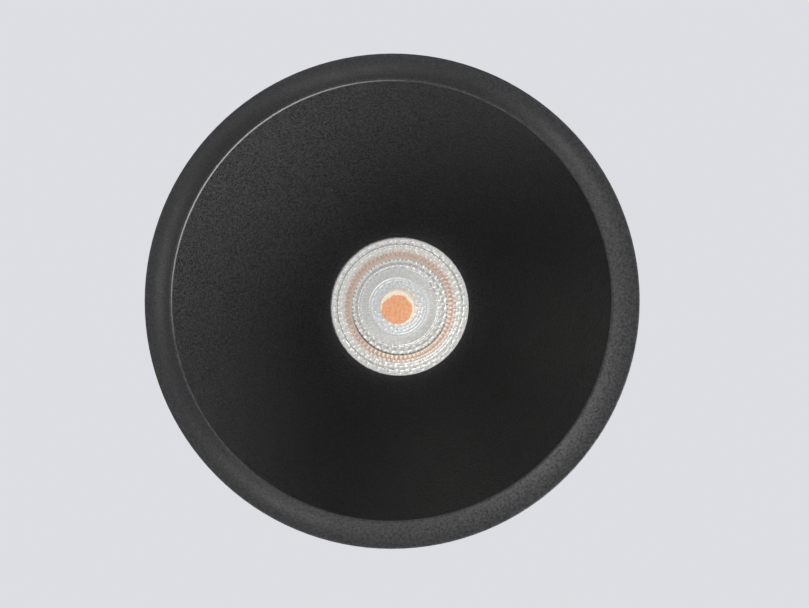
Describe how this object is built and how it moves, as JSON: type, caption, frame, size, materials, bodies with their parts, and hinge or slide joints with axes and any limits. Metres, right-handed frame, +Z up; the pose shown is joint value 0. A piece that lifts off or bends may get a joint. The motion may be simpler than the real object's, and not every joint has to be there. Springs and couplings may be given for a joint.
{
  "type": "recessed soffit downlight",
  "caption": "Round recessed soffit downlight with a deep black anti-glare cone, faceted lens, finned heat sink, wiring chamber with cable gland and sprung clips.",
  "frame": {"origin": "centre of the soffit's underside plane, where the top of the flange gasket seats", "axes": "+Z up into the soffit along the light's axis, light shines towards -Z; the clips stand at +X and -X and the cable gland points along +Y"},
  "size_m": [0.09, 0.09, 0.0929],
  "materials": {
    "black_paint": "matte fine-grained powder coat on die-cast aluminium",
    "black_rubber": "matte",
    "clear_silicone": "translucent grey silicone",
    "clear_lens": "clear, polished, faceted",
    "white_plastic": "satin moulded",
    "white_ceramic": "white ceramic",
    "phosphor": "orange phosphor in silicone, unlit",
    "zinc_steel": "bright zinc plate",
    "spring_steel": "bright drawn stainless",
    "grey_pad": "soft filled silicone",
    "dark_aluminium": "black anodised die-cast",
    "lead_insulation": "soft insulation, one black and one red",
    "black_plastic": "fine moulded texture",
    "grey_silicone": "matte silicone"
  },
  "bodies": {
    "fitting": {"front_casting": "black_paint", "soffit_gasket": "black_rubber", "lens_gasket": "clear_silicone", "tir_lens": "clear_lens", "lens_carrier": "white_plastic", "emitter_board": "white_ceramic", "emitter_phosphor": "phosphor", "board_holder": "white_plastic", "holder_screws": "zinc_steel", "thermal_pad": "grey_pad", "heat_sink_seal": "black_rubber", "heat_sink": "dark_aluminium", "heat_sink_screws": "zinc_steel", "led_leads": "lead_insulation", "chamber_seal": "black_rubber", "wiring_chamber": "black_plastic", "chamber_screws": "zinc_steel", "terminal_block": "white_plastic", "terminal_screws": "zinc_steel", "lid_seal": "black_rubber", "chamber_lid": "black_plastic", "lid_screws": "zinc_steel", "gland_body": "black_plastic", "gland_washer": "black_rubber", "gland_insert": "black_rubber", "gland_nut": "black_plastic", "clip_screws": "zinc_steel", "clip_bracket_right": "zinc_steel", "clip_pin_right": "zinc_steel", "clip_spring_right": "spring_steel", "clip_bracket_left": "zinc_steel", "clip_pin_left": "zinc_steel", "clip_spring_left": "spring_steel"},
    "clip_right": {"clip_arm_right": "spring_steel", "clip_sleeve_right": "grey_silicone"},
    "clip_left": {"clip_arm_left": "spring_steel", "clip_sleeve_left": "grey_silicone"}
  },
  "joints": [
    {"name": "clip_right_swing", "type": "hinge", "parent": "fitting", "child": "clip_right", "pos_m": [0.032, 0, 0.02341], "axis": [0, -1, 0], "range_deg": [0, 136], "stiffness_Nm_per_rad": 0.05, "springref_deg": -137.51, "deforming": ["clip_spring_right"]},
    {"name": "clip_left_swing", "type": "hinge", "parent": "fitting", "child": "clip_left", "pos_m": [-0.032, 0, 0.02341], "axis": [0, 1, 0], "range_deg": [0, 136], "stiffness_Nm_per_rad": 0.05, "springref_deg": -137.51, "deforming": ["clip_spring_left"]}
  ]
}
